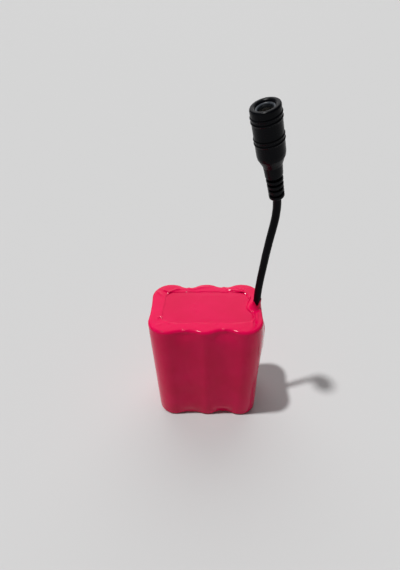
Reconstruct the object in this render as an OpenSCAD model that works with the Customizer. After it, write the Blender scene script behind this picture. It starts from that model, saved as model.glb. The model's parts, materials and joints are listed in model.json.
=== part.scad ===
// Six-cell battery pack (three in series, two in parallel) in a heat-shrink sleeve.
// A short lead leaves its top and ends in a moulded DC jack.
// Units are millimetres. The origin is the middle of the face the pack stands on.
// +Z is up, and the lead leaves at the +X end.

/* [Cells] */
// Diameter of one cell over its wrap
cell_d = 18.3; // [17.8:0.1:18.6]
// Height of one cell, cap included
cell_h = 65; // [64:0.5:70]
// Gap between neighbouring cells
cell_gap = 0.1; // [0.1:0.05:0.3]

/* [Sleeve] */
// Thickness of the shrink film
film_t = 0.25; // [0.2:0.05:0.3]
// How far the film dips between two cells: front left, front right, back right, back left
valley_depths = [1.5, 2.2, 2.4, 2.8]; // [1.2:0.1:3]
// How far the film dips on the side that holds the lead and the board
lead_side_depth = 0.2; // [0.2:0.1:0.7]
// How far the film dips on the side away from the lead
far_side_depth = 0.4; // [0.4:0.1:1.2]
// Radius of the film's turn over the ends
edge_r = 1.5; // [1.3:0.1:1.8]
// Width of the film folded over each end
fold_w = 7; // [5:0.5:9]

/* [Ends] */
// Thickness of the film disc inside each fold
cover_t = 0.2; // [0.1:0.05:0.3]
// Thickness of each insulating end board
board_t = 0.4; // [0.3:0.05:0.5]
// Thickness of the nickel strips
nickel_t = 0.15; // [0.1:0.05:0.2]
// Width of the nickel strips
nickel_w = 8; // [6:0.5:9]

/* [Protection board] */
// Width of the board across the valley that it stands in
pcb_w = 8; // [6:0.5:8]
// Height of the board
pcb_h = 40; // [34:1:42]
// Thickness of the board
pcb_t = 0.8; // [0.6:0.1:0.8]

/* [Lead] */
// Diameter of the lead
lead_d = 3.5; // [3:0.1:3.6]
// Diameter of each insulated core in it
core_d = 1.3; // [1:0.1:1.4]
// Diameter of the wires from the strips to the board
wire_d = 1; // [0.8:0.1:1]

/* [Jack] */
// Outer diameter of the moulded jack
jack_d = 10.8; // [10:0.1:11.5]
// Length of the jack with its strain relief
jack_l = 36.5; // [34:0.5:40]
// Bore that takes the plug's barrel
socket_d = 5.6; // [5.5:0.05:5.7]
// Diameter of the centre pin
pin_d = 2; // [1.9:0.05:2.05]

/* [Hidden] */
$fn = 64;

// Colours
film_red = [0.86, 0.03, 0.22];
board_green = [0.05, 0.35, 0.16];
paper_grey = [0.78, 0.80, 0.76];
nickel_grey = [0.76, 0.75, 0.71];
lead_black = [0.02, 0.02, 0.025];
wrap_blue = [0.16, 0.35, 0.62];

// Stack along Z: film, cover, board, nickel, cell, nickel, board, cover, film
pitch = cell_d + cell_gap;
lobe_r = pitch / 2 + film_t;
cell_z0 = film_t + cover_t + board_t + nickel_t;
cell_z1 = cell_z0 + cell_h;
pack_h = cell_z1 + cell_z0;

// Cell centres, anticlockwise from the front left. The two on the left stand with their caps down.
CENTRES = [for (c = [[-1, -1], [0, -1], [1, -1], [1, 1], [0, 1], [-1, 1]]) [c.x * pitch, c.y * pitch / 2]];
CAP_DOWN = [true, false, false, false, false, true];

// Positions in the valley on the lead's side
lead_x = 25;
lead_run_z0 = 46;
pcb_x = 26;
pcb_z = 4;
pad_t = 0.05;
wire_y = 2.4;
wire_x = pcb_x - pad_t - wire_d / 2;
core_x = pcb_x - pad_t - core_d / 2;
core_y = 0.72;
tab_z_top = cell_z1;
tab_z_bottom = cell_z0;
upper_pad_z = 37;
lower_pad_z = 8;
core_pad_z = 41;
fit_gap = 0.05;

// Route of the free lead, from the film's top to the strain relief
LEAD_ROUTE = [
    [25, 0, 67], [25, 0.1, 71], [25.1, 0.5, 75], [25.4, 1, 79], [25.8, 1.5, 83],
    [26.3, 2, 87], [26.8, 2.5, 91], [27.3, 3, 95], [27.9, 3.5, 99], [28.5, 4, 103],
    [29.2, 4.5, 107], [29.8, 4.9, 111], [30.1, 5.1, 115], [30, 5, 118.5], [29.5, 4.6, 122]];
LEAD_SIDES = 8;
JACK_TURN = [10, -13.5, 0];
jack_axis = [cos(JACK_TURN.x) * sin(JACK_TURN.y), -sin(JACK_TURN.x), cos(JACK_TURN.x) * cos(JACK_TURN.y)];

// ---- The sleeve's outline: six convex lobes joined by six concave valleys ----

VALLEYS = [
    valley_depths[0], valley_depths[1], lead_side_depth,
    valley_depths[2], valley_depths[3], far_side_depth];
function valley_r(v) = (pow(pitch / 2, 2) + pow(lobe_r - v, 2) - pow(lobe_r, 2)) / (2 * v);
function angle_of(p) = atan2(p.y, p.x);
function turn(a) = (a % 360 + 360) % 360;

// Centre of the valley arc between lobe i and the next one
function valley_centre(i) =
    let (a = CENTRES[i], b = CENTRES[(i + 1) % 6], d = (b - a) / norm(b - a), v = VALLEYS[i])
    (a + b) / 2 + [d.y, -d.x] * (lobe_r - v + valley_r(v));

function arc(c, r, a0, a1, n) =
    [for (k = [0:n - 1]) let (a = a0 + (a1 - a0) * k / n) c + r * [cos(a), sin(a)]];

function lobe_arc(i, grow) =
    let (c = CENTRES[i], a0 = angle_of(valley_centre((i + 5) % 6) - c), a1 = angle_of(valley_centre(i) - c),
         sweep = turn(a1 - a0))
    arc(c, lobe_r + grow, a0, a0 + sweep, ceil(sweep / 9.5));

function valley_arc(i, grow) =
    let (c = valley_centre(i), a0 = angle_of(CENTRES[i] - c), a1 = angle_of(CENTRES[(i + 1) % 6] - c))
    arc(c, valley_r(VALLEYS[i]) - grow, a0, a0 - turn(a0 - a1), 5);

function outline(grow) = [for (i = [0:5]) each concat(lobe_arc(i, grow), valley_arc(i, grow))];

// The fold's inner edge: each outline point moved in to a rounded rectangle
rim_x = pitch + lobe_r - fold_w;
rim_y = pitch / 2 + lobe_r - fold_w;
rim_power = 7;
function rim_scale(p) =
    1 / pow(pow(abs(p.x) / rim_x, rim_power) + pow(abs(p.y) / rim_y, rim_power), 1 / rim_power);
function rim() = [for (p = outline(0)) p * rim_scale(p)];

function at_z(points, z) = [for (p = points) [p.x, p.y, z]];

// Rings of one skin's turn from flat end to upright wall, at the bottom end. r is the skin's radius of turn.
TURN_ANGLES = [0, 30, 60, 90];
function turn_rings(r) = [for (a = TURN_ANGLES) at_z(outline(-edge_r + r * sin(a)), edge_r - r * cos(a))];
function to_top(ring) = [for (p = ring) [p.x, p.y, pack_h - p.z]];
function reversed(v) = [for (i = [len(v) - 1:-1:0]) v[i]];

// A closed surface through rings of equal size, the last ring meeting the first
module ring_torus(rings) {
    n = len(rings[0]);
    m = len(rings);
    polyhedron(
        points = [for (ring = rings) each ring],
        faces = [for (j = [0:m - 1], i = [0:n - 1], half = [0, 1])
            let (
                a = j * n + i, b = j * n + (i + 1) % n,
                c = (j + 1) % m * n + (i + 1) % n, d = (j + 1) % m * n + i)
            half == 0 ? [a, d, b] : [b, d, c]],
        convexity = 6);
}

module lead_hole() {
    translate([lead_x, 0, pack_h - 3])
        cylinder(r = lead_d / 2 + fit_gap, h = 6);
}

module shrink_sleeve() {
    outer_half = concat([at_z(rim(), 0)], turn_rings(edge_r));
    inner_half = concat([at_z(rim(), film_t)], turn_rings(edge_r - film_t));
    color(film_red)
        difference() {
            ring_torus(concat(
                outer_half,
                reversed([for (ring = outer_half) to_top(ring)]),
                [for (ring = inner_half) to_top(ring)],
                reversed(inner_half)));
            lead_hole();
        }
}

// ---- End covers and boards ----

cover_inset = edge_r + 0.1;
board_inset = edge_r - 0.5;

module end_plate(inset, thickness) {
    linear_extrude(height = thickness)
        polygon(outline(-inset));
}

module top_end_cover() {
    color(film_red)
        difference() {
            translate([0, 0, pack_h - film_t - cover_t])
                end_plate(cover_inset, cover_t);
            lead_hole();
        }
}

module bottom_end_cover() {
    color(film_red)
        translate([0, 0, film_t])
            end_plate(cover_inset, cover_t);
}

module top_end_board() {
    color(paper_grey)
        difference() {
            translate([0, 0, cell_z1 + nickel_t])
                end_plate(board_inset, board_t);
            lead_hole();
        }
}

module bottom_end_board() {
    color(paper_grey)
        translate([0, 0, film_t + cover_t])
            end_plate(board_inset, board_t);
}

// ---- Nickel strips ----

strip_end = 6;
weld_slot = [6, 1];

// A straight strip through two or more cell centres, with a slot over each cell between its welds
module strip_2d(from, to, cells) {
    length = norm(to - from) + 2 * strip_end;
    difference() {
        translate((from + to) / 2)
            rotate(angle_of(to - from))
                square([length, nickel_w], center = true);
        for (i = cells)
            translate(CENTRES[i])
                square(weld_slot, center = true);
    }
}

// The tab that reaches over the valley to the wires. side is -1 for the front cell and 1 for the back one.
module tab_2d(side) {
    points = [for (p = [[21.5, 6], [24.7, 1.9], [26.3, 1.9], [26.3, 3.2], [23.6, 6]]) [p.x, side * p.y]];
    polygon(side < 0 ? reversed(points) : points);
}

module nickel(z) {
    color(nickel_grey)
        translate([0, 0, z])
            linear_extrude(height = nickel_t)
                children();
}

// Pack positive: the caps of the two back cells on the right
module nickel_b_plus() {
    nickel(cell_z1) {
        strip_2d(CENTRES[4], CENTRES[3], [3, 4]);
        tab_2d(1);
    }
}

// First junction: the caps of the front pair and the bases of the left pair
module nickel_b1() {
    nickel(cell_z1) {
        strip_2d(CENTRES[0], CENTRES[2], [0, 1, 2]);
        strip_2d(CENTRES[0], CENTRES[5], [0, 5]);
        tab_2d(-1);
    }
}

// Second junction: the caps of the left pair and the bases of the back pair
module nickel_b2() {
    nickel(cell_z0 - nickel_t) {
        strip_2d(CENTRES[5], CENTRES[3], [3, 4, 5]);
        strip_2d(CENTRES[0], CENTRES[5], [0, 5]);
        tab_2d(1);
    }
}

// Pack negative: the bases of the front pair on the right
module nickel_b_minus() {
    nickel(cell_z0 - nickel_t) {
        strip_2d(CENTRES[1], CENTRES[2], [1, 2]);
        tab_2d(-1);
    }
}

// ---- Cells. Profiles are radius and height above the base, for a cell with its cap up ----

can_r = cell_d / 2 - 0.08;
wall = 0.25;
crimp_z = cell_h - 1.3;
bead_z = cell_h - 3.5;

CAN_PROFILE = [
    [0, 0], [can_r - 0.5, 0], [can_r, 0.5], [can_r, bead_z - 0.7], [can_r - 0.77, bead_z - 0.3],
    [can_r - 0.77, bead_z + 0.3], [can_r, bead_z + 0.7], [can_r, crimp_z - 0.5], [can_r - 0.45, crimp_z],
    [can_r - 1.9, crimp_z], [can_r - 1.9, crimp_z - wall], [can_r - 0.6, crimp_z - wall],
    [can_r - wall, crimp_z - 0.6], [can_r - wall, bead_z + 0.85], [can_r - 1.02, bead_z + 0.4],
    [can_r - 1.02, bead_z - 0.4], [can_r - wall, bead_z - 0.85],
    [can_r - wall, 0.6], [can_r - 0.6, 0.3], [0, 0.3]];

WRAP_PROFILE = [
    [can_r, 0.5], [can_r + 0.08, 0.5], [can_r + 0.08, crimp_z - 0.45], [can_r - 0.42, crimp_z + 0.08],
    [can_r - 1.5, crimp_z + 0.08], [can_r - 1.5, crimp_z], [can_r - 0.45, crimp_z], [can_r, crimp_z - 0.5]];

GASKET_PROFILE = [
    [7.3, crimp_z - 0.65], [7.3, crimp_z - 0.3], [8.4, crimp_z - 0.3], [8.75, crimp_z - 0.65],
    [8.75, crimp_z - 1.25], [8.2, crimp_z - 1.6], [7.3, crimp_z - 1.6], [7.3, crimp_z - 1.25],
    [7.95, crimp_z - 1.25], [7.95, crimp_z - 0.65]];

CAP_PROFILE = [
    [0, cell_h], [2.9, cell_h], [3.2, cell_h - 0.3], [3.4, crimp_z - 0.7], [7.9, crimp_z - 0.7],
    [7.9, crimp_z - 1.2], [3.05, crimp_z - 1.2], [2.85, cell_h - 0.4], [0, cell_h - 0.4]];

roll_r = 8.7;
mandrel_r = 1.2;
vent = [8, 1, 0.8];

// Puts a cell's piece, drawn with its cap up, at cell i
module at_cell(i) {
    down = CAP_DOWN[i];
    translate([CENTRES[i].x, CENTRES[i].y, down ? cell_z1 : cell_z0])
        rotate([down ? 180 : 0, 0, 0])
            children();
}

module cell_can(i) {
    color("silver")
        at_cell(i)
            rotate_extrude()
                polygon(CAN_PROFILE);
}

module cell_wrap(i) {
    color(wrap_blue)
        at_cell(i)
            rotate_extrude()
                polygon(WRAP_PROFILE);
}

module cell_roll(i) {
    color("dimgray")
        at_cell(i)
            translate([0, 0, 0.4])
                difference() {
                    cylinder(r = roll_r, h = bead_z - 1.6);
                    translate([0, 0, -1])
                        cylinder(r = mandrel_r, h = cell_h);
                }
}

module cell_cap(i) {
    color("gainsboro")
        at_cell(i)
            difference() {
                rotate_extrude()
                    polygon(CAP_PROFILE);
                for (a = [0, 60, 120])
                    rotate(a)
                        translate([0, 0, crimp_z])
                            cube(vent, center = true);
            }
}

module cell_gaskets() {
    color("black")
        for (i = [0:5])
            at_cell(i)
                rotate_extrude()
                    polygon(GASKET_PROFILE);
}

module cell_insulator_rings() {
    color("white")
        for (i = [0:5])
            at_cell(i)
                translate([0, 0, crimp_z + 0.08])
                    difference() {
                        cylinder(r = 8.6, h = 0.2);
                        translate([0, 0, -1])
                            cylinder(r = 3.6, h = 2);
                    }
}

// Hot melt glue in the two gaps between four cells, at two heights
module glue_beads() {
    bead_h = 8;
    color("ivory")
        for (side = [-1, 1], z = [14, 44])
            translate([side * pitch / 2, 0, z])
                difference() {
                    translate([-3.6, -3.6, 0])
                        cube([7.2, 7.2, bead_h]);
                    for (x = [-1, 1], y = [-1, 1])
                        translate([x * pitch / 2, y * pitch / 2, -1])
                            cylinder(r = cell_d / 2, h = bead_h + 2);
                }
}

// ---- Protection board, standing in the valley on the lead's side, with its parts facing the cells ----

module on_board(y, z, size) {
    translate([pcb_x - size.x, y - size.y / 2, z - size.z / 2])
        cube(size);
}

module bms_board() {
    color(board_green)
        translate([pcb_x, -pcb_w / 2, pcb_z])
            cube([pcb_t, pcb_w, pcb_h]);
}

// Four transistors in two pairs that switch the charge and discharge paths
module bms_mosfets() {
    color("black")
        for (z = [13, 17.5, 22, 26.5])
            on_board(0, z, [1, 4, 3]);
}

// The protection chip, two balancing chips and the small parts round them
module bms_chips() {
    color("darkslategray") {
        on_board(0, 31, [1, 3, 3]);
        for (y = [-1, 1])
            on_board(y * 2.6, 31, [0.6, 1.2, 2.4]);
        for (z = [33.6, 34.9])
            on_board(0, z, [0.5, 1.6, 0.8]);
    }
}

module bms_pads() {
    color("gold") {
        for (y = [-wire_y, wire_y], z = [upper_pad_z + 1.5, lower_pad_z - 1.5])
            on_board(y, z, [pad_t, 1.6, 3]);
        for (y = [-core_y, core_y])
            on_board(y, core_pad_z + 1.2, [pad_t, 1.2, 2.4]);
    }
}

module board_tape() {
    tape_t = 0.08;
    color("goldenrod")
        translate([pcb_x + pcb_t, -5, pcb_z - 1])
            cube([tape_t, 10, pcb_h + 2]);
}

// ---- Wires from the strips' tabs to the board ----

module upright(x, y, z0, z1, d) {
    translate([x, y, z0])
        cylinder(r = d / 2, h = z1 - z0);
}

module wire_b_plus() {
    color("red")
        upright(wire_x, wire_y, upper_pad_z, tab_z_top, wire_d);
}

module wire_b1() {
    color("white")
        upright(wire_x, -wire_y, upper_pad_z, tab_z_top, wire_d);
}

module wire_b2() {
    color("yellow")
        upright(wire_x, wire_y, tab_z_bottom, lower_pad_z, wire_d);
}

module wire_b_minus() {
    color("black")
        upright(wire_x, -wire_y, tab_z_bottom, lower_pad_z, wire_d);
}

// ---- Lead ----

module lead_inner_run() {
    color(lead_black)
        upright(lead_x, 0, lead_run_z0, pack_h, lead_d);
}

module lead_core_red() {
    color("red")
        upright(core_x, core_y, core_pad_z, lead_run_z0, core_d);
}

module lead_core_black() {
    color("black")
        upright(core_x, -core_y, core_pad_z, lead_run_z0, core_d);
}

function unit(v) = v / norm(v);
function route_direction(i) =
    let (last = len(LEAD_ROUTE) - 1)
    i == 0 ? [0, 0, 1] : i == last ? jack_axis : unit(LEAD_ROUTE[i + 1] - LEAD_ROUTE[i - 1]);

// One ring of the tube, square to the route at point i
function route_ring(i) =
    let (t = route_direction(i), u = unit(cross([0, 1, 0], t)), v = cross(t, u))
    [for (k = [0:LEAD_SIDES - 1]) let (a = 360 * k / LEAD_SIDES)
        LEAD_ROUTE[i] + lead_d / 2 * (cos(a) * u + sin(a) * v)];

module free_lead() {
    n = LEAD_SIDES;
    last = len(LEAD_ROUTE) - 1;
    color(lead_black)
        polyhedron(
            points = [for (i = [0:last]) each route_ring(i)],
            faces = concat(
                [[for (k = [0:n - 1]) k]],
                [for (i = [0:last - 1], k = [0:n - 1], half = [0, 1])
                    let (
                        a = i * n + k, b = i * n + (k + 1) % n,
                        c = (i + 1) * n + (k + 1) % n, d = (i + 1) * n + k)
                    half == 0 ? [a, d, b] : [b, d, c]],
                [[for (k = [n - 1:-1:0]) last * n + k]]));
}

// ---- Jack, drawn with its cord end at z = 0 and its mouth at z = jack_l ----

insert_z0 = jack_l - 14.5;
insert_z1 = jack_l - 0.8;
floor_z = jack_l - 11.5;
lip_z = jack_l - 2.3;
insert_r = 3.35;
contact_r = 3.15;
contact_t = 0.15;
tail_l = 12;

module at_jack() {
    translate(LEAD_ROUTE[len(LEAD_ROUTE) - 1])
        rotate(JACK_TURN)
            children();
}

// A grip ring's bump on the body's profile
function grip(z) = [[jack_d / 2, z - 0.45], [jack_d / 2 + 0.22, z - 0.15], [jack_d / 2 + 0.22, z + 0.15],
                    [jack_d / 2, z + 0.45]];

// A strain relief rib from z0, h tall
function rib(z0, h, r) = [[2.4, z0], [r, z0 + 0.2], [r, z0 + h - 0.2], [2.4, z0 + h]];

module jack_overmould() {
    body_r = jack_d / 2;
    profile = concat(
        [[lead_d / 2, 0], [2.9, 0]],
        [[3.15, 0.4], [3.15, 1.5], [2.4, 1.8]],
        rib(2.9, 1.4, 3.15),
        rib(5.2, 1.4, 3.25),
        rib(7.5, 1.4, 3.35),
        [[2.4, 9.8], [3.5, 10.1], [3.75, 14.5], [4.3, 16], [4.75, 17], [body_r - 0.15, 18.2], [body_r, 19.5]],
        grip(jack_l - 12.2), grip(jack_l - 10.6), grip(jack_l - 4.6), grip(jack_l - 3),
        [[body_r, jack_l - 0.5], [body_r - 0.4, jack_l], [insert_r + 0.45, jack_l], [insert_r, jack_l - 0.5],
         [insert_r, insert_z0], [0, insert_z0], [0, tail_l], [lead_d / 2, tail_l]]);
    color(lead_black)
        at_jack()
            difference() {
                rotate_extrude()
                    polygon(profile);
                for (side = [-1, 1])
                    translate([0, side * core_y, tail_l - 1])
                        cylinder(r = core_d / 2, h = insert_z0 - tail_l + 2);
            }
}

module jack_insert() {
    color("dimgray")
        at_jack()
            rotate_extrude()
                polygon([
                    [pin_d / 2 + 0.3, insert_z0], [insert_r, insert_z0], [insert_r, insert_z1],
                    [socket_d / 2 + 0.3, insert_z1], [socket_d / 2, insert_z1 - 0.3], [socket_d / 2, lip_z],
                    [contact_r, lip_z], [contact_r, floor_z], [pin_d / 2 + 0.3, floor_z]]);
}

module jack_sleeve_contact() {
    slit = [2 * contact_r + 1, 0.5, 6];
    color("silver")
        at_jack()
            difference() {
                translate([0, 0, floor_z])
                    cylinder(r = contact_r, h = lip_z - floor_z);
                translate([0, 0, floor_z - 1])
                    cylinder(r = contact_r - contact_t, h = lip_z - floor_z + 2);
                translate([0, 0, lip_z - slit.z / 2 + 0.01])
                    cube(slit, center = true);
            }
}

module jack_centre_pin() {
    pin_top = jack_l - 2.5;
    color("silver")
        at_jack()
            rotate_extrude()
                polygon([
                    [0, insert_z0], [pin_d / 2 + 0.3, insert_z0],
                    [pin_d / 2 + 0.3, floor_z], [pin_d / 2, floor_z],
                    [pin_d / 2, pin_top - 0.4], [pin_d / 2 - 0.4, pin_top], [0, pin_top]]);
}

module jack_lead_tail() {
    color(lead_black)
        at_jack()
            cylinder(r = lead_d / 2, h = tail_l);
}

module jack_core(side) {
    at_jack()
        translate([0, side * core_y, tail_l])
            cylinder(r = core_d / 2, h = insert_z0 - tail_l);
}

module jack_core_red() {
    color("red")
        jack_core(1);
}

module jack_core_black() {
    color("black")
        jack_core(-1);
}

shrink_sleeve();
top_end_cover();
bottom_end_cover();
top_end_board();
bottom_end_board();
nickel_b_plus();
nickel_b1();
nickel_b2();
nickel_b_minus();
cell_gaskets();
cell_insulator_rings();
bms_board();
bms_mosfets();
bms_chips();
bms_pads();
board_tape();
glue_beads();
wire_b_plus();
wire_b1();
wire_b2();
wire_b_minus();
lead_inner_run();
lead_core_red();
lead_core_black();
free_lead();
jack_overmould();
jack_insert();
jack_sleeve_contact();
jack_centre_pin();
jack_lead_tail();
jack_core_red();
jack_core_black();
for (i = [1:6]) {
    cell_can(i - 1);
    cell_wrap(i - 1);
    cell_roll(i - 1);
    cell_cap(i - 1);
}
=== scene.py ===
"""Looks of a shrink-sleeved pack of six cylindrical cells with a short lead and a moulded DC jack.

All helper geometry is in millimetres in the part's frame, and is scaled to metres as each mesh is made.
"""

import json
import math

import bpy
import numpy as np
from mathutils import Matrix, Vector, noise


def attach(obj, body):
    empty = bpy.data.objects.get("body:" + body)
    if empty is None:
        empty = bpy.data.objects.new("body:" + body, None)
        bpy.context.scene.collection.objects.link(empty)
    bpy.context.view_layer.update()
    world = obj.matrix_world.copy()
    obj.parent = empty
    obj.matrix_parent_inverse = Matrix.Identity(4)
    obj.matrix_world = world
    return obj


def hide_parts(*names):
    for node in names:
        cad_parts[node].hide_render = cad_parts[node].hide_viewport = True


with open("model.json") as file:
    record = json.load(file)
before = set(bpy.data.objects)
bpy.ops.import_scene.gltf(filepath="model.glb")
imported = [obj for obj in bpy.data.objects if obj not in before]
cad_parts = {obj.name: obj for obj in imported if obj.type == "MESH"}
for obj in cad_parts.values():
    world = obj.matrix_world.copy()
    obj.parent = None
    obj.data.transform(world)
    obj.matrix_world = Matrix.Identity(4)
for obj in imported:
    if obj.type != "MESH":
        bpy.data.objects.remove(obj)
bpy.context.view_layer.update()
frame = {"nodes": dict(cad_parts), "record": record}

MM = 0.001
NODES = frame["nodes"]
scene = bpy.context.scene

# ---- Sizes, as in the CAD source, in mm ----

PITCH = 18.4
FILM_T = 0.25
LOBE_R = PITCH / 2 + FILM_T
PACK_H = 67.0
EDGE_R = 1.5
FOLD_W = 7.0
COVER_T = 0.2
# Depths of the six valleys between the lobes, at the pack's ends and at mid-height, from the front left onwards
END_DEPTH = np.array([1.5, 2.2, 0.2, 2.4, 2.8, 0.4])
MID_DEPTH = np.array([0.8, 0.9, 0.2, 1.0, 1.0, 0.4])
CENTRES = [(x * PITCH, y * PITCH / 2) for x, y in ((-1, -1), (0, -1), (1, -1), (1, 1), (0, 1), (-1, 1))]
LEAD_D = 3.5
LEAD_X = 25.0
LEAD_ROUTE = [
    (25, 0, 67), (25, 0.1, 71), (25.1, 0.5, 75), (25.4, 1, 79), (25.8, 1.5, 83),
    (26.3, 2, 87), (26.8, 2.5, 91), (27.3, 3, 95), (27.9, 3.5, 99), (28.5, 4, 103),
    (29.2, 4.5, 107), (29.8, 4.9, 111), (30.1, 5.1, 115), (30, 5, 118.5), (29.5, 4.6, 122)]
# The jack's turns about X and Y, in degrees. Its heights run along its own axis from the lead's end.
JACK_TURN = (10.0, -13.5)
JACK_L = 36.5
JACK_D = 10.8
INSERT_Z0 = JACK_L - 14.5
INSERT_R = 3.35
FLOOR_Z = JACK_L - 11.5
LIP_Z = JACK_L - 2.3
LIP_R = 2.8
BORE_R = 3.15
PIN_R = 1.0
PIN_ROOT_R = PIN_R + 0.3
TAIL_L = 12.0
CORE_Y = 0.72
CORE_R = 0.65


# ---- Camera ----

CAMERA_PLACE = (5.55, -145.73, 194.26)
CAMERA_TURN = (44.22, -3.485, -2.211)


def add_camera():
    """The camera in front of the pack and above it. Its place is in mm, and its pitch, yaw and roll in degrees."""
    pitch, yaw, roll = (math.radians(a) for a in CAMERA_TURN)
    ahead = Vector((math.sin(yaw) * math.cos(pitch), math.cos(yaw) * math.cos(pitch), -math.sin(pitch)))
    level = Vector((math.cos(yaw), -math.sin(yaw), 0))
    up = level.cross(ahead)
    right = math.cos(roll) * level + math.sin(roll) * up
    top = -math.sin(roll) * level + math.cos(roll) * up
    data = bpy.data.cameras.new("camera")
    data.sensor_width = 36
    data.lens = 24.56
    data.shift_y = 0.0755
    data.clip_start = 0.01
    data.clip_end = 50
    camera = bpy.data.objects.new("camera", data)
    turn = Matrix((right, top, -ahead)).transposed().to_4x4()
    camera.matrix_world = Matrix.Translation(Vector(CAMERA_PLACE) * MM) @ turn
    scene.collection.objects.link(camera)
    scene.camera = camera


add_camera()


# ---- Materials ----

def shade(name, metallic=0.0, **sockets):
    """A node material. Returns it with its tree, its shader and the coordinates that its noise uses."""
    material = bpy.data.materials.new(name)
    material.use_nodes = True
    tree = material.node_tree
    shader = tree.nodes["Principled BSDF"]
    shader.inputs["Metallic"].default_value = metallic
    for socket, value in sockets.items():
        shader.inputs[socket.replace("_", " ")].default_value = value
    where = tree.nodes.new("ShaderNodeTexCoord").outputs["Object"]
    return material, tree, shader, where


def noise_node(tree, where, scale, detail=3.0, stretch=None):
    """Noise of about `scale` bumps a metre, optionally stretched along the axes."""
    if stretch:
        mapping = tree.nodes.new("ShaderNodeMapping")
        mapping.inputs["Scale"].default_value = stretch
        tree.links.new(where, mapping.inputs["Vector"])
        where = mapping.outputs["Vector"]
    node = tree.nodes.new("ShaderNodeTexNoise")
    node.inputs["Scale"].default_value = scale
    node.inputs["Detail"].default_value = detail
    tree.links.new(where, node.inputs["Vector"])
    return node.outputs["Fac"]


def ramp(tree, fac, stops):
    """A colour ramp through (position, colour) stops."""
    node = tree.nodes.new("ShaderNodeValToRGB")
    node.color_ramp.elements[0].position = stops[0][0]
    node.color_ramp.elements[0].color = (*stops[0][1], 1)
    node.color_ramp.elements[1].position = stops[-1][0]
    node.color_ramp.elements[1].color = (*stops[-1][1], 1)
    for position, colour in stops[1:-1]:
        node.color_ramp.elements.new(position).color = (*colour, 1)
    tree.links.new(fac, node.inputs["Fac"])
    return node.outputs["Color"]


def spread(tree, fac, low, high):
    """Maps noise from its usual 0.3 to 0.7 to a range of values."""
    node = tree.nodes.new("ShaderNodeMapRange")
    node.inputs["From Min"].default_value = 0.3
    node.inputs["From Max"].default_value = 0.7
    node.inputs["To Min"].default_value = low
    node.inputs["To Max"].default_value = high
    tree.links.new(fac, node.inputs["Value"])
    return node.outputs["Result"]


def bumps(tree, shader, layers):
    """A chain of bump nodes, one for each (height, distance in metres, strength)."""
    normal = None
    for height, distance, strength in layers:
        node = tree.nodes.new("ShaderNodeBump")
        node.inputs["Distance"].default_value = distance
        node.inputs["Strength"].default_value = strength
        tree.links.new(height, node.inputs["Height"])
        if normal:
            tree.links.new(normal, node.inputs["Normal"])
        normal = node.outputs["Normal"]
    tree.links.new(normal, shader.inputs["Normal"])


def film_material(name, tone):
    """Glossy crimson PVC shrink film with a slight orange peel and faint drawn streaks along the sleeve."""
    material, tree, shader, where = shade(name, Specular_IOR_Level=0.13, IOR=1.5)
    broad = noise_node(tree, where, 55, 4)
    streaks = noise_node(tree, where, 260, 3, (1, 1, 0.06))
    peel = noise_node(tree, where, 620, 2)
    wobble = noise_node(tree, where, 130, 2)
    colour = ramp(tree, broad, [(0.30, (0.68 * tone, 0.0018, 0.063 * tone)),
                                (0.50, (0.73 * tone, 0.0022, 0.074 * tone)),
                                (0.70, (0.78 * tone, 0.0028, 0.086 * tone))])
    tree.links.new(colour, shader.inputs["Base Color"])
    tree.links.new(spread(tree, streaks, 0.09, 0.17), shader.inputs["Roughness"])
    bumps(tree, shader, [(wobble, 0.00010, 0.5), (streaks, 0.00005, 0.5), (peel, 0.000012, 0.6)])
    return material


def moulded_material(name, dark, light, rough, grain=900, depth=0.00002, specular=0.5):
    """Satin moulded or extruded plastic with a fine grain."""
    material, tree, shader, where = shade(name, Specular_IOR_Level=specular)
    broad = noise_node(tree, where, 90, 4)
    fine = noise_node(tree, where, grain, 3)
    tree.links.new(ramp(tree, broad, [(0.3, dark), (0.7, light)]), shader.inputs["Base Color"])
    tree.links.new(spread(tree, fine, *rough), shader.inputs["Roughness"])
    bumps(tree, shader, [(fine, depth, 0.6)])
    return material


def metal_material(name, dark, light, rough, stretch=(1, 1, 1)):
    """Plated or drawn metal with fine scratches along one axis and a little tarnish."""
    material, tree, shader, where = shade(name, metallic=1.0)
    broad = noise_node(tree, where, 120, 5)
    fine = noise_node(tree, where, 700, 4, stretch)
    tree.links.new(ramp(tree, broad, [(0.3, dark), (0.7, light)]), shader.inputs["Base Color"])
    tree.links.new(spread(tree, fine, *rough), shader.inputs["Roughness"])
    bumps(tree, shader, [(fine, 0.00001, 0.5)])
    return material


def board_material():
    """Woven glass-epoxy board: two crossed waves under a matt surface."""
    material, tree, shader, where = shade("end_board")
    weave = []
    for axis in ("X", "Y"):
        threads = tree.nodes.new("ShaderNodeTexWave")
        threads.bands_direction = axis
        threads.inputs["Scale"].default_value = 320
        threads.inputs["Distortion"].default_value = 0.6
        tree.links.new(where, threads.inputs["Vector"])
        weave.append(threads.outputs["Fac"])
    add = tree.nodes.new("ShaderNodeMath")
    add.operation = "MULTIPLY"
    for k in (0, 1):
        tree.links.new(weave[k], add.inputs[k])
    cloth = add.outputs["Value"]
    colour = ramp(tree, cloth, [(0, (0.46, 0.50, 0.40)), (1, (0.66, 0.69, 0.60))])
    tree.links.new(colour, shader.inputs["Base Color"])
    tree.links.new(spread(tree, noise_node(tree, where, 400), 0.5, 0.7), shader.inputs["Roughness"])
    bumps(tree, shader, [(cloth, 0.00002, 0.5)])
    return material


def grey(value):
    return (value, value, value)


SATIN = (0.3, 0.42)
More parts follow.
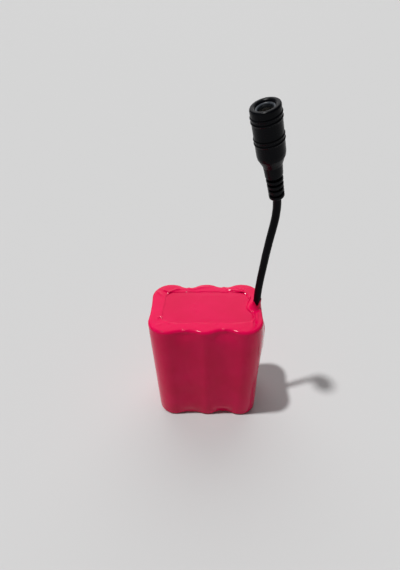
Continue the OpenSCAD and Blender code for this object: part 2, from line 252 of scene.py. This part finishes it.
# name, dark colour, light colour, roughness range, then any grain, depth and specular level
MOULDED = (
    ("black_nylon", grey(0.012), grey(0.025), (0.4, 0.6)),
    ("white_paper", (0.70, 0.70, 0.66), (0.86, 0.86, 0.82), (0.7, 0.9), 2200, 0.00004),
    ("solder_mask", (0.006, 0.12, 0.035), (0.012, 0.19, 0.06), (0.2, 0.35)),
    ("chip_plastic", (0.014, 0.014, 0.016), (0.028, 0.028, 0.03), (0.45, 0.65), 2600),
    ("amber_tape", (0.42, 0.19, 0.02), (0.58, 0.31, 0.05), (0.15, 0.3)),
    ("hot_glue", (0.66, 0.62, 0.48), (0.82, 0.79, 0.68), (0.3, 0.45), 300, 0.00008),
    ("red_pvc", (0.42, 0.010, 0.010), (0.60, 0.022, 0.02), SATIN),
    ("white_pvc", grey(0.70), grey(0.84), SATIN),
    ("yellow_pvc", (0.62, 0.42, 0.02), (0.80, 0.58, 0.04), SATIN),
    ("black_pvc", (0.012, 0.012, 0.013), (0.024, 0.024, 0.026), SATIN),
    ("lead_pvc", (0.0012, 0.0012, 0.002), (0.003, 0.003, 0.005), (0.28, 0.40), 700, 0.00002, 0.07),
    ("jack_pvc", (0.0012, 0.0014, 0.0022), (0.003, 0.0035, 0.0055), (0.2, 0.3), 1500, 0.00002, 0.07),
    ("insert_plastic", (0.035, 0.042, 0.05), (0.07, 0.08, 0.095), (0.25, 0.36)),
    ("cell_wrap", (0.014, 0.09, 0.34), (0.024, 0.14, 0.46), (0.2, 0.34), 500),
)
# name, dark colour, light colour, roughness range, then any stretch of the scratches
METALS = (
    ("nickel", (0.55, 0.53, 0.49), (0.72, 0.70, 0.66), (0.25, 0.45), (6, 1, 1)),
    ("gold_pad", (0.78, 0.56, 0.22), (0.9, 0.72, 0.36), (0.2, 0.35)),
    ("plated_contact", (0.62, 0.61, 0.58), (0.82, 0.81, 0.79), (0.12, 0.26), (1, 1, 5)),
    ("cell_steel", grey(0.46), grey(0.64), (0.25, 0.4), (1, 1, 8)),
    ("electrode_foil", (0.10, 0.095, 0.09), (0.2, 0.19, 0.18), (0.4, 0.6), (1, 1, 6)),
    ("cap_steel", (0.52, 0.52, 0.51), (0.72, 0.72, 0.71), (0.2, 0.36)),
)
MATERIALS = {"film": film_material("film", 1.0), "end_board": board_material()}
for name, *look in MOULDED:
    MATERIALS[name] = moulded_material(name, *look)
for name, *look in METALS:
    MATERIALS[name] = metal_material(name, *look)
# the flat film over the ends, a little darker than the stretched film
DISC_FILM = film_material("disc_film", 0.93)

for row in frame["record"]["subparts"]:
    node = NODES[row["node"]]
    node.data.materials.clear()
    node.data.materials.append(MATERIALS[row["material_slot"]])


# ---- Mesh making ----

def make_mesh(name, points, faces, slot, smooth_angle=None):
    """A piece of the object from points in mm. It rides on the one body."""
    mesh = bpy.data.meshes.new(name)
    mesh.from_pydata((np.asarray(points, float) * MM).tolist(), [], faces)
    mesh.validate()
    mesh.materials.append(MATERIALS[slot])
    piece = bpy.data.objects.new(name, mesh)
    scene.collection.objects.link(piece)
    mesh.shade_smooth()
    if smooth_angle:
        mesh.set_sharp_from_angle(angle=math.radians(smooth_angle))
    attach(piece, "root")
    return piece


def loop_faces(rows, count, closed):
    """Quads between rows of `count` points, each row a closed ring."""
    faces = []
    for j in range(rows if closed else rows - 1):
        a, b = j * count, (j + 1) % rows * count
        for i in range(count):
            k = (i + 1) % count
            faces.append((a + i, b + i, b + k, a + k))
    return faces


def torus_mesh(name, rows, slot, smooth_angle=None):
    """A closed surface through rings of equal size, the last ring meeting the first."""
    rows = np.asarray(rows)
    return make_mesh(name, rows.reshape(-1, 3), loop_faces(len(rows), len(rows[0]), True), slot, smooth_angle)


def capped_mesh(name, rows, slot, smooth_angle=None):
    """A closed surface through rings, with a fan at each end to the ring's middle."""
    rows = np.asarray(rows)
    count, size = len(rows), len(rows[0])
    faces = loop_faces(count, size, False)
    points = np.vstack([rows.reshape(-1, 3), rows[0].mean(0), rows[-1].mean(0)])
    first, last, end = count * size, count * size + 1, (count - 1) * size
    for i in range(size):
        k = (i + 1) % size
        faces.append((first, i, k))
        faces.append((last, end + k, end + i))
    return make_mesh(name, points, faces, slot, smooth_angle)


def smooth(t):
    t = np.clip(t, 0, 1)
    return t * t * (3 - 2 * t)


def hump(d, width):
    """A bell of height 1 at d = 0."""
    return np.exp(-(np.asarray(d) / width) ** 2)


def wave(points, size, seed):
    """Smooth noise of about -1 to 1 at each point, with bumps of about `size` mm."""
    shift = Vector((seed * 17.3, seed * 5.1, seed * 9.7))
    return np.array([noise.noise(Vector(p) / size + shift) for p in points])


# ---- The sleeve's outline ----

LOBE_STEPS = (74, 34, 74, 74, 34, 74)
VALLEY_STEPS = (40, 40, 64, 40, 40, 50)
WALL_ROWS = 76
FOLD_ROWS = 26
TURN_ROWS = 8


def outline(grow, depth):
    """Points, outward normals and valley weights round the sleeve, for six valley depths."""
    points, normals, valley = [], [], []
    radius = ((PITCH / 2) ** 2 + (LOBE_R - depth) ** 2 - LOBE_R ** 2) / (2 * depth)
    middles = []
    for i in range(6):
        a, b = np.array(CENTRES[i]), np.array(CENTRES[(i + 1) % 6])
        along = (b - a) / np.linalg.norm(b - a)
        middles.append((a + b) / 2 + np.array([along[1], -along[0]]) * (LOBE_R - depth[i] + radius[i]))
    for i in range(6):
        centre = np.array(CENTRES[i])
        start = math.atan2(*(middles[i - 1] - centre)[::-1])
        sweep = (math.atan2(*(middles[i] - centre)[::-1]) - start) % (2 * math.pi)
        for k in range(LOBE_STEPS[i]):
            a = start + sweep * k / LOBE_STEPS[i]
            n = np.array([math.cos(a), math.sin(a)])
            points.append(centre + (LOBE_R + grow) * n)
            normals.append(n)
            valley.append(0.0)
        middle, after = middles[i], np.array(CENTRES[(i + 1) % 6])
        start = math.atan2(*(centre - middle)[::-1])
        sweep = (start - math.atan2(*(after - middle)[::-1])) % (2 * math.pi)
        for k in range(VALLEY_STEPS[i]):
            a = start - sweep * k / VALLEY_STEPS[i]
            n = np.array([math.cos(a), math.sin(a)])
            points.append(middle + (radius[i] - grow) * n)
            normals.append(-n)
            valley.append(math.sin(math.pi * k / VALLEY_STEPS[i]) ** 2)
    return np.array(points), np.array(normals), np.array(valley)


def rim_scale(points, grow):
    """What scales a point to the fold's inner edge, a rounded rectangle."""
    size = np.array([PITCH + LOBE_R - FOLD_W, PITCH / 2 + LOBE_R - FOLD_W]) + grow[:, None]
    return 1 / (np.abs(points / size) ** 7).sum(1) ** (1 / 7)


# ---- The free lead ----

def add_lead():
    curve = bpy.data.curves.new("lead", "CURVE")
    curve.dimensions = "3D"
    spline = curve.splines.new("BEZIER")
    spline.bezier_points.add(len(LEAD_ROUTE) - 1)
    for point, place in zip(spline.bezier_points, LEAD_ROUTE):
        point.co = Vector(place) * MM
        point.handle_left_type = point.handle_right_type = "AUTO"
    spline.resolution_u = 8
    curve.bevel_depth = LEAD_D / 2 * MM
    curve.bevel_resolution = 7
    curve.use_fill_caps = True
    curve.materials.append(MATERIALS["lead_pvc"])
    lead = bpy.data.objects.new("lead", curve)
    scene.collection.objects.link(lead)
    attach(lead, "root")
    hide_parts("free_lead")
    return lead


lead = add_lead()


# ---- The film sleeve ----

# How far the fold's inner edge wanders in x on the side of the lead, at each y
LEAD_SIDE_RIM = (
    (-13, -9, -5.5, -3.6, -2.3, 0.2, 2.8, 5.8, 9),
    (1.2, 2.3, 2.4, 1.2, 0, -0.8, -0.5, 0.7, 0))
# Each crease on the fold: a line of (x, y) points, its height and its width
CREASES = (
    (((-22.6, 13.6), (-21.4, 12.3), (-20.2, 11.7), (-19.5, 10.4)), 0.63, 0.50),
    (((-19.4, 10.4), (-18.6, 11.7), (-16.0, 13.4), (-12.5, 14.2)), 0.51, 0.60),
    (((-26.0, 12.0), (-24.0, 10.4), (-22.6, 8.0)), 0.33, 0.60),
    (((-23.3, -8.8), (-22.6, -8.0), (-21.4, -8.1), (-20.9, -9.2)), 0.45, 0.46),
    (((-11.0, 14.6), (-7.0, 13.6), (-3.0, 15.2), (1.5, 16.0)), 0.30, 0.72),
    (((10.0, 13.8), (13.4, 12.9), (16.3, 12.1), (19.1, 11.2), (21.0, 9.6)), 0.60, 0.58),
    (((16.5, 14.8), (19.8, 12.4), (21.6, 9.8)), 0.39, 0.54),
    (((21.2, 9.4), (22.2, 7.4), (21.6, 5.6), (20.6, 3.2), (20.1, 0.4), (20.7, -2.2), (22.0, -3.6)), 0.54, 0.50),
    (((22.2, -3.6), (23.2, -2.6), (23.0, -1.0)), 0.51, 0.50),
    (((23.6, -3.6), (23.2, -6.0), (23.6, -8.4), (22.4, -11.0), (22.5, -13.2), (22.0, -15.2)), 0.33, 0.48),
    (((24.8, -3.8), (25.2, -6.6), (24.6, -9.4)), 0.24, 0.54),
    (((4.6, -13.0), (5.2, -11.7), (6.6, -11.1), (8.6, -11.5)), 0.18, 0.60),
    (((-16.5, -12.8), (-17.6, -11.4), (-19.0, -10.2)), 0.21, 0.60),
)


def top_height(points):
    """How far the film's top stands up at each (x, y), with its creases and the fold beside the lead, in mm."""
    flat = np.column_stack([points, np.zeros(len(points))])
    height = 0.10 * (0.5 + 0.5 * wave(flat, 7.0, 3))
    for line, tall, wide in CREASES:
        nearest = np.full(len(points), 1e9)
        place = np.zeros(len(points))
        parts = len(line) - 1
        for k in range(parts):
            a, b = np.array(line[k]), np.array(line[k + 1])
            t = np.clip(((points - a) @ (b - a)) / ((b - a) @ (b - a)), 0, 1)
            gap = np.linalg.norm(points - a - t[:, None] * (b - a), axis=1)
            closer = gap < nearest
            nearest = np.where(closer, gap, nearest)
            place = np.where(closer, (k + t) / parts, place)
        taper = smooth(place / 0.25) * smooth((1 - place) / 0.25)
        height += tall * hump(nearest, wide) * (0.25 + 0.75 * taper)
    lead_gap = np.hypot(points[:, 0] - LEAD_X, points[:, 1])
    return height * smooth((lead_gap - 2.6) / 1.6)


def add_sleeve():
    """The film sleeve: one closed skin down the outside, under the bottom fold, and back up the inside."""
    turns = np.radians(np.linspace(90, 0, TURN_ROWS + 1))
    wall = PACK_H / 2 - EDGE_R
    heights = PACK_H / 2 + wall * np.sin(np.linspace(math.pi / 2, -math.pi / 2, WALL_ROWS))
    seam, _, valley = outline(0, END_DEPTH)
    around = len(seam)
    corner = smooth((np.abs(seam[:, 0]) - 20) / 6) * smooth((np.abs(seam[:, 1]) - 9) / 5)
    ring = np.column_stack([seam, np.zeros(around)])
    edge_wave = wave(ring, 2.6, 5)
    rim_wave = 0.55 * wave(ring, 6.0, 6) + 0.25 * wave(ring, 2.2, 7)
    pleat = np.clip(wave(ring, 1.5, 8), 0, 1) ** 1.5
    pinch = 0.34 * valley ** 12 * (np.abs(seam[:, 0]) < 20)

    def end_rows(top):
        """Rows of both skins from the fold's inner edge to the wall, at one end."""
        outer, inner = [], []
        edge = outline(-EDGE_R, END_DEPTH)[0]
        rim = edge * rim_scale(edge, rim_wave)[:, None]
        if top:
            rim[:, 0] += np.interp(rim[:, 1], *LEAD_SIDE_RIM) * smooth((rim[:, 0] - 13) / 5)
        # the fold, with its inner edge thinned to 0.07 mm
        thin = FILM_T - 0.07
        for k in range(FOLD_ROWS):
            t = k / FOLD_ROWS
            flat = rim + (edge - rim) * t
            lift = np.zeros(around)
            if top:
                pleats = pleat * (0.05 + 0.24 * corner) * np.sin(math.pi * (1 - t) ** 0.7) ** 2
                lift = (top_height(flat) + pleats) * smooth((1 - t) / 0.2)
            outer.append(np.column_stack([flat, PACK_H - thin * (1 - smooth(t / 0.12)) + lift]))
            inner.append(np.column_stack([flat, np.full(around, PACK_H - FILM_T) + lift]))
        # the rounded edge, pinched up over the valleys
        for a in turns[:-1]:
            out = (pinch + np.clip(0.07 * edge_wave, -0.02, None)) * math.sin(2 * a)
            for rows, r in ((outer, EDGE_R), (inner, EDGE_R - FILM_T)):
                shape, n, _ = outline(-EDGE_R + r * math.cos(a), END_DEPTH)
                shape = shape + n * (out * math.cos(a))[:, None]
                rows.append(np.column_stack([shape, PACK_H - EDGE_R + (r + top * out) * math.sin(a)]))
        if not top:
            for rows in (outer, inner):
                for row in rows:
                    row[:, 2] = PACK_H - row[:, 2]
        return outer, inner

    def wall_rows():
        """Rows of both skins down the wall, with the slack of the film over the valleys."""
        outer, inner = [], []
        for z in heights:
            near = min(z, PACK_H - z) - EDGE_R
            depth = MID_DEPTH + (END_DEPTH - MID_DEPTH) * float(hump(near, 3.8))
            shape, n, v = outline(0, depth)
            place = np.column_stack([shape, np.full(around, z)])
            calm = smooth(near / 5.0)
            out = calm * (0.05 + 0.05 * wave(place, 6.0, 9))
            out += calm * v * (0.22 * wave(place * (1, 1, 0.6), 8.0, 10) + 0.06 * wave(place, 3.0, 11))
            # the film stands off where it passes over the lead's inner run
            over_lead = 2.3 * hump(shape[:, 1] + 2.6, 6.2) * smooth((shape[:, 0] - 21) / 6)
            out += over_lead * smooth((z - 24) / 22) * smooth((PACK_H - EDGE_R - z) / 11)
            shape = shape + n * out[:, None]
            outer.append(np.column_stack([shape, np.full(around, z)]))
            inner.append(np.column_stack([shape - n * FILM_T, np.full(around, z)]))
        return outer, inner

    top_outer, top_inner = end_rows(True)
    low_outer, low_inner = end_rows(False)
    mid_outer, mid_inner = wall_rows()
    rows = top_outer + mid_outer + low_outer[::-1] + low_inner + mid_inner[::-1] + top_inner[::-1]
    sleeve = torus_mesh("sleeve_film", rows, "film", 60)
    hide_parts("shrink_sleeve")
    return sleeve


sleeve = add_sleeve()


def combine(piece, other, operation):
    """Joins another solid to the piece, or takes it out, and removes the other."""
    modifier = piece.modifiers.new("combine", "BOOLEAN")
    modifier.operation = operation
    modifier.solver = "EXACT"
    modifier.object = other
    made = bpy.data.meshes.new_from_object(piece.evaluated_get(bpy.context.evaluated_depsgraph_get()))
    piece.modifiers.clear()
    old, piece.data = piece.data, made
    bpy.data.meshes.remove(old)
    bpy.data.objects.remove(other)


def prism(name, shape, z0, z1, place=Matrix.Identity(4)):
    """A scratch solid from a flat shape, used for cutting."""
    count = len(shape)
    points = [place @ Vector((x, y, z)) * MM for z in (z0, z1) for x, y in shape]
    mesh = bpy.data.meshes.new(name)
    mesh.from_pydata(points, [], [tuple(range(count))[::-1], tuple(range(count, 2 * count))] + [
        (i, (i + 1) % count, count + (i + 1) % count, count + i) for i in range(count)])
    solid = bpy.data.objects.new(name, mesh)
    scene.collection.objects.link(solid)
    return solid


def circle(x, y, radius, steps=40):
    turns = np.linspace(0, 2 * math.pi, steps + 1)[:-1]
    return [(x + radius * math.cos(a), y + radius * math.sin(a)) for a in turns]


def lead_lip():
    """The film drawn up round the lead: a tent with a pointed notch at the front, its foot over the pack's edge."""
    steps = 96
    angles = np.linspace(0, 2 * math.pi, steps, endpoint=False)
    from_front = (angles + math.pi / 2 + math.pi) % (2 * math.pi) - math.pi
    side = 0.5 + 0.5 * np.sin(from_front)
    rise = (2.0 + 1.3 * side) * np.clip(np.abs(from_front) / math.radians(48), 0, 1) ** 1.1
    ring = np.column_stack([np.cos(angles), np.sin(angles), 0 * angles])
    tall = 1.9 + rise + 0.12 * wave(3 * ring, 2.0, 21)
    over_edge = smooth((np.cos(angles) + 0.5) / 1.3)
    flare = 2.3 + 0.4 * wave(4 * ring, 2.4, 22)
    flare = flare * (1 - over_edge) + 0.25 * over_edge
    base = -0.06 - 1.2 * over_edge ** 2
    route = np.array(LEAD_ROUTE)

    def row(radius, height):
        z = np.clip(PACK_H + height, PACK_H, None)
        x, y = (np.interp(z, route[:, 2], route[:, k]) for k in (0, 1))
        return np.column_stack([x + radius * np.cos(angles), y + radius * np.sin(angles), PACK_H + height])

    inside = LEAD_D / 2 + 0.05
    wall = 0.22
    rows = [row(inside + wall + flare, base)]
    for s in np.linspace(0.04, 1, 24):
        rows.append(row(inside + wall + flare * (1 - s) ** 2.6, base + (tall - base) * s ** 1.15))
    rows.append(row(np.full(steps, inside + wall * 0.75), tall + 0.05))
    rows.append(row(np.full(steps, inside + wall * 0.25), tall + 0.05))
    for s in (0.97, 0.7, 0.4, 0.15):
        rows.append(row(np.full(steps, inside), tall * s))
    rows.append(row(np.full(steps, inside), base - 0.08))
    return torus_mesh("lip", rows[::-1], "film")


combine(sleeve, prism("hole", circle(LEAD_X, 0, LEAD_D / 2 + 0.2), PACK_H - 2, PACK_H + 2), "DIFFERENCE")
combine(sleeve, lead_lip(), "UNION")


def add_cover(name, node, top):
    """The film over an end's board, seen inside the fold."""
    edge = outline(-EDGE_R - 0.1, END_DEPTH)[0]
    rim = edge * rim_scale(edge, np.full(len(edge), -1.3))[:, None]
    rows = 26
    skins = []
    for level in (COVER_T, 0.0):
        skin = []
        for k in range(1, rows + 1):
            t = k / rows
            flat = rim * (t / 0.8) if t <= 0.8 else rim + (edge - rim) * (t - 0.8) / 0.2
            lift = np.zeros(len(flat))
            if top and t < 0.8:
                place = np.column_stack([flat, np.zeros(len(flat))])
                lift = smooth((0.8 - t) / 0.12) * (
                    0.09 * (0.5 + 0.5 * wave(place, 9.0, 12)) + 0.05 * (0.5 + 0.5 * wave(place, 4.0, 13)))
                arc = np.hypot(flat[:, 0] + 2.2, flat[:, 1] + 0.4)
                lift += 0.28 * hump(arc - 4.0, 0.45) * smooth((-4.4 - flat[:, 0]) / 1.2)
            skin.append(np.column_stack([flat, level + lift]))
        skins.append(skin)
    rows_all = np.array(skins[0] + skins[1][::-1])
    base = PACK_H - FILM_T - COVER_T if top else FILM_T
    rows_all[:, :, 2] += base
    cover = capped_mesh(name, rows_all, "film", 60)
    cover.data.materials[0] = DISC_FILM
    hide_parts(node)
    return cover


top_cover = add_cover("top_film", "top_end_cover", True)
combine(top_cover, prism("hole", circle(LEAD_X, 0, LEAD_D / 2 + 0.05), PACK_H - 2, PACK_H + 2), "DIFFERENCE")
add_cover("bottom_film", "bottom_end_cover", False)


# ---- The jack ----

AT_JACK = Matrix.Translation(Vector(LEAD_ROUTE[-1])) @ Matrix.Rotation(
    math.radians(JACK_TURN[1]), 4, "Y") @ Matrix.Rotation(math.radians(JACK_TURN[0]), 4, "X")


def lathe(name, profile, slot, node, steps, shape=None, smooth_angle=35):
    """A turned piece on the jack's axis. The profile is (radius, height), outside first and inside last.

    It runs from the axis back to the axis, or from a point back to the same point for a ring.
    """
    rows = []
    angles = np.linspace(0, 2 * math.pi, steps, endpoint=False)
    for r, z in profile:
        radius = np.full(steps, float(r))
        if shape:
            radius = radius + shape(r, z, angles)
        x, y = radius * np.cos(angles), radius * np.sin(angles)
        local = np.column_stack([x, y, np.full(steps, z), np.ones(steps)])
        rows.append((np.array(AT_JACK) @ local.T).T[:, :3])
    rows = np.array(rows)[::-1]
    if profile[0] == profile[-1]:
        piece = torus_mesh(name, rows[1:], slot, smooth_angle)
    else:
        piece = capped_mesh(name, rows[1:-1], slot, smooth_angle)
    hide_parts(node)
    return piece


def rounded(points, radius=0.12, steps=3):
    """A profile with each inner corner rounded by a short curve."""
    made = [points[0]]
    for a, b, c in zip(points, points[1:], points[2:]):
        a, b, c = np.array(a, float), np.array(b, float), np.array(c, float)
        to_a, to_c = np.linalg.norm(a - b), np.linalg.norm(c - b)
        r = min(radius, 0.4 * to_a, 0.4 * to_c)
        p, q = b + (a - b) * r / to_a, b + (c - b) * r / to_c
        for t in np.linspace(0, 1, steps + 1):
            made.append(tuple((1 - t) ** 2 * p + 2 * t * (1 - t) * b + t * t * q))
    made.append(points[-1])
    return made


def rib(z0, z1, r):
    return [(2.4, z0), (r, z0 + 0.1), (r, z1 - 0.1), (2.4, z1)]


def grip(z):
    body = JACK_D / 2
    return [(body, z - 0.45), (body + 0.24, z - 0.22), (body + 0.24, z + 0.22), (body, z + 0.45)]


def body_shape(r, z, angles):
    """The parting line down both sides, and the webs that join the strain relief's ribs."""
    side = np.abs(np.cos(angles))
    extra = 0.05 * hump((1 - side) * 60, 1.0) * (r > 4.5)
    if z < 9.7 and 1.9 < r < 2.6:
        extra = extra + 0.6 * smooth((side - 0.86) / 0.08)
    return extra


body_profile = (
    [(0, TAIL_L), (LEAD_D / 2, TAIL_L), (LEAD_D / 2, 0), (2.9, 0), (3.15, 0.4), (3.15, 1.5), (2.4, 1.8)]
    + rib(2.9, 4.3, 3.15) + rib(5.2, 6.6, 3.25) + rib(7.5, 8.9, 3.35)
    + [(2.4, 9.8), (3.5, 10.1), (3.6, 12.3), (3.75, 14.5), (4.3, 16), (4.75, 17), (5.2, 18.0)]
    + [(JACK_D / 2, 19.4)] + grip(JACK_L - 12.2) + grip(JACK_L - 10.6) + grip(JACK_L - 4.6) + grip(JACK_L - 3)
    + [(JACK_D / 2, JACK_L - 0.7), (JACK_D / 2 - 0.15, JACK_L - 0.2), (JACK_D / 2 - 0.5, JACK_L), (4.1, JACK_L)]
    + [(INSERT_R + 0.2, JACK_L - 0.35), (INSERT_R, JACK_L - 0.8), (INSERT_R, INSERT_Z0), (0, INSERT_Z0)])
jack_body = lathe("jack_body", [body_profile[0]] + rounded(body_profile[1:-1], 0.2, 4) + [body_profile[-1]],
                  "jack_pvc", "jack_overmould", 160, body_shape, 40)
for side in (-1, 1):
    ring = circle(0, side * CORE_Y, CORE_R, 24)
    combine(jack_body, prism("core_hole", ring, TAIL_L - 1, INSERT_Z0 + 1, AT_JACK), "DIFFERENCE")

insert_profile = [
    (PIN_ROOT_R, INSERT_Z0), (INSERT_R, INSERT_Z0), (INSERT_R, JACK_L - 0.8), (BORE_R, JACK_L - 0.8),
    (LIP_R, JACK_L - 1.15), (LIP_R, LIP_Z), (BORE_R, LIP_Z), (BORE_R, FLOOR_Z), (PIN_ROOT_R, FLOOR_Z),
    (PIN_ROOT_R, INSERT_Z0)]
lathe("jack_insulator", rounded(insert_profile, 0.08), "insert_plastic", "jack_insert", 96)
pin_profile = [
    (0, INSERT_Z0), (PIN_ROOT_R, INSERT_Z0), (PIN_ROOT_R, FLOOR_Z), (PIN_R, FLOOR_Z), (PIN_R, JACK_L - 2.95),
    (0.95, JACK_L - 2.75), (0.8, JACK_L - 2.6), (0.55, JACK_L - 2.52), (0.3, JACK_L - 2.5), (0, JACK_L - 2.5)]
lathe("jack_pin", pin_profile, "plated_contact", "jack_centre_pin", 48)


# ---- Floor and light ----

def add_floor():
    mesh = bpy.data.meshes.new("floor")
    mesh.from_pydata([(-4, -4, 0), (4, -4, 0), (4, 4, 0), (-4, 4, 0)], [], [(0, 1, 2, 3)])
    floor = bpy.data.objects.new("floor", mesh)
    material = bpy.data.materials.new("floor")
    material.use_nodes = True
    shader = material.node_tree.nodes["Principled BSDF"]
    shader.inputs["Base Color"].default_value = (0.58, 0.58, 0.58, 1)
    shader.inputs["Roughness"].default_value = 0.9
    shader.inputs["Specular IOR Level"].default_value = 0.1
    mesh.materials.append(material)
    scene.collection.objects.link(floor)


def add_sun(name, azimuth, elevation, angle, strength):
    """A distant round light from a compass direction, in degrees, with 0 at -Y and 90 at +X."""
    data = bpy.data.lights.new(name, "SUN")
    data.angle = math.radians(angle)
    data.energy = strength
    a, e = math.radians(azimuth), math.radians(elevation)
    towards = Vector((math.sin(a) * math.cos(e), -math.cos(a) * math.cos(e), math.sin(e)))
    light = bpy.data.objects.new(name, data)
    light.location = towards
    light.rotation_euler = towards.to_track_quat("Z", "Y").to_euler()
    scene.collection.objects.link(light)


def add_world():
    """Soft surroundings: pale at the horizon, dim above, with a large diffuser behind and above the pack."""
    world = bpy.data.worlds.new("world")
    world.use_nodes = True
    tree = world.node_tree
    where = tree.nodes.new("ShaderNodeTexCoord").outputs["Generated"]
    towards = tree.nodes.new("ShaderNodeVectorMath")
    towards.operation = "DOT_PRODUCT"
    towards.inputs[1].default_value = Vector((-0.05, 0.74, 0.67)).normalized()
    tree.links.new(where, towards.inputs[0])
    strength = tree.nodes.new("ShaderNodeMapRange")
    strength.interpolation_type = "SMOOTHSTEP"
    strength.inputs["From Min"].default_value = 0.70
    strength.inputs["From Max"].default_value = 0.95
    strength.inputs["To Min"].default_value = 0.10
    strength.inputs["To Max"].default_value = 1.4
    tree.links.new(towards.outputs["Value"], strength.inputs["Value"])
    up = tree.nodes.new("ShaderNodeSeparateXYZ")
    tree.links.new(where, up.inputs["Vector"])
    glow = tree.nodes.new("ShaderNodeMapRange")
    glow.interpolation_type = "SMOOTHSTEP"
    glow.inputs["From Min"].default_value = 0.0
    glow.inputs["From Max"].default_value = 0.45
    glow.inputs["To Min"].default_value = 0.14
    glow.inputs["To Max"].default_value = 0.0
    tree.links.new(up.outputs["Z"], glow.inputs["Value"])
    total = tree.nodes.new("ShaderNodeMath")
    total.operation = "ADD"
    tree.links.new(strength.outputs["Result"], total.inputs[0])
    tree.links.new(glow.outputs["Result"], total.inputs[1])
    background = tree.nodes["Background"]
    background.inputs["Color"].default_value = (1, 1, 1, 1)
    tree.links.new(total.outputs["Value"], background.inputs["Strength"])
    scene.world = world


add_floor()
add_world()
add_sun("key", azimuth=-84, elevation=72, angle=3, strength=2.5)
scene.view_settings.view_transform = "Standard"
